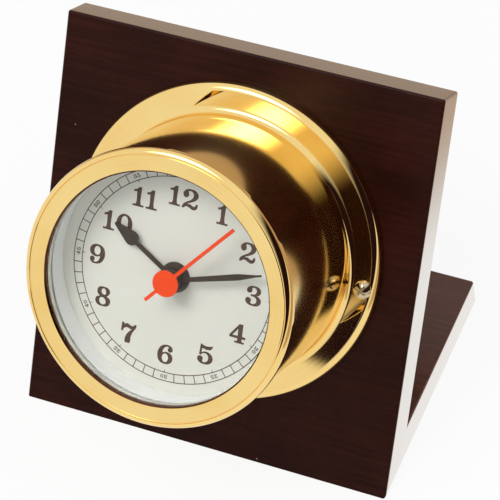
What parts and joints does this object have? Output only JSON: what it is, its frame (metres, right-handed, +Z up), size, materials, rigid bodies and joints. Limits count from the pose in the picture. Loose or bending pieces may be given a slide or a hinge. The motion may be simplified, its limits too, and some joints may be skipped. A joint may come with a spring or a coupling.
{
  "type": "desk clock",
  "caption": "Brass ship's-clock case with round dial on a leaning lacquered wooden stand, with a battery movement whose gear train turns the hands and a setting knob behind.",
  "frame": {"origin": "middle of the base board's underside, on the surface that the clock stands on", "axes": "+Z up, +X to the right seen from the front, +Y to the back; the dial faces -Y and up"},
  "size_m": [0.125, 0.1124, 0.1229],
  "materials": {
    "lacquered_wood": "dark maroon gloss lacquer over wood",
    "dowel_wood": "plain beech",
    "polished_brass": "polished and lacquered",
    "plain_brass": "turned",
    "clear_glass": "clear, flat",
    "black_rubber": "soft matt",
    "white_plastic": "smooth white",
    "dial_white": "matt off-white print on a thin disc",
    "hand_dark": "dark brown-black satin",
    "hand_orange": "orange satin",
    "gear_plastic": "natural acetal",
    "spring_steel": "bright nickel",
    "magnet": "dark sintered",
    "motor_iron": "stamped soft iron",
    "copper_wire": "enamelled copper wire",
    "circuit_laminate": "brown laminate",
    "black_plastic": "moulded, fine texture",
    "battery_jacket": "plain grey jacket"
  },
  "bodies": {
    "clock": {"front_panel": "lacquered_wood", "base_board": "lacquered_wood", "mitre_dowels": "dowel_wood", "case_body": "polished_brass", "flange_screws": "polished_brass", "bezel": "polished_brass", "crystal": "clear_glass", "crystal_gasket": "black_rubber", "rehaut_ring": "white_plastic", "dial": "dial_white", "dial_feet": "plain_brass", "centre_bush": "plain_brass", "stator": "motor_iron", "coil_bobbin": "white_plastic", "coil_winding": "copper_wire", "circuit_board": "circuit_laminate", "quartz_crystal": "spring_steel", "control_chip": "black_plastic", "battery": "battery_jacket", "positive_contact": "spring_steel", "negative_contact": "spring_steel", "movement_housing": "black_plastic", "movement_cover": "black_plastic"},
    "seconds": {"seconds_wheel": "gear_plastic", "seconds_hand": "hand_orange"},
    "third": {"third_wheel": "gear_plastic"},
    "intermediate": {"intermediate_wheel": "gear_plastic"},
    "rotor": {"rotor": "magnet"},
    "centre": {"centre_wheel": "gear_plastic"},
    "minute": {"minute_arbor": "plain_brass", "friction_washer": "spring_steel", "minute_hand": "hand_dark"},
    "minute_work": {"minute_wheel": "gear_plastic"},
    "hour": {"hour_wheel": "gear_plastic", "hour_hand": "hand_dark"},
    "knob": {"setting_knob": "black_plastic"}
  },
  "joints": [
    {"name": "seconds_spin", "type": "hinge", "parent": "clock", "child": "seconds", "pos_m": [0, -0.02312, 0.07346], "axis": [0, 0.8192, -0.5736], "continuous": true},
    {"name": "third_spin", "type": "hinge", "parent": "clock", "child": "third", "pos_m": [-0.00866, -0.02189, 0.0787], "axis": [0, 0.8192, -0.5736], "continuous": true},
    {"name": "intermediate_spin", "type": "hinge", "parent": "clock", "child": "intermediate", "pos_m": [0.005, -0.01651, 0.07941], "axis": [0, 0.8192, -0.5736], "continuous": true},
    {"name": "rotor_spin", "type": "hinge", "parent": "clock", "child": "rotor", "pos_m": [0.01421, -0.01377, 0.08158], "axis": [0, 0.8192, -0.5736], "continuous": true},
    {"name": "centre_spin", "type": "hinge", "parent": "clock", "child": "centre", "pos_m": [0, -0.02639, 0.07575], "axis": [0, 0.8192, -0.5736], "continuous": true},
    {"name": "minute_spin", "type": "hinge", "parent": "clock", "child": "minute", "pos_m": [0, -0.02967, 0.07805], "axis": [0, 0.8192, -0.5736], "continuous": true},
    {"name": "minute_work_spin", "type": "hinge", "parent": "clock", "child": "minute_work", "pos_m": [0.008, -0.02885, 0.07747], "axis": [0, 0.8192, -0.5736], "continuous": true},
    {"name": "hour_spin", "type": "hinge", "parent": "clock", "child": "hour", "pos_m": [0, -0.03131, 0.07919], "axis": [0, 0.8192, -0.5736], "continuous": true},
    {"name": "knob_spin", "type": "hinge", "parent": "clock", "child": "knob", "pos_m": [0.01552, -0.02387, 0.07064], "axis": [0, 0.8192, -0.5736], "continuous": true}
  ],
  "couplings": [
    {"joint": "intermediate_spin", "follows": "seconds_spin", "ratio": -5},
    {"joint": "rotor_spin", "follows": "seconds_spin", "ratio": 30},
    {"joint": "third_spin", "follows": "seconds_spin", "ratio": -0.13333},
    {"joint": "centre_spin", "follows": "seconds_spin", "ratio": 0.016667},
    {"joint": "minute_work_spin", "follows": "minute_spin", "ratio": -0.33333},
    {"joint": "hour_spin", "follows": "minute_spin", "ratio": 0.083333},
    {"joint": "knob_spin", "follows": "minute_spin", "ratio": 1}
  ]
}
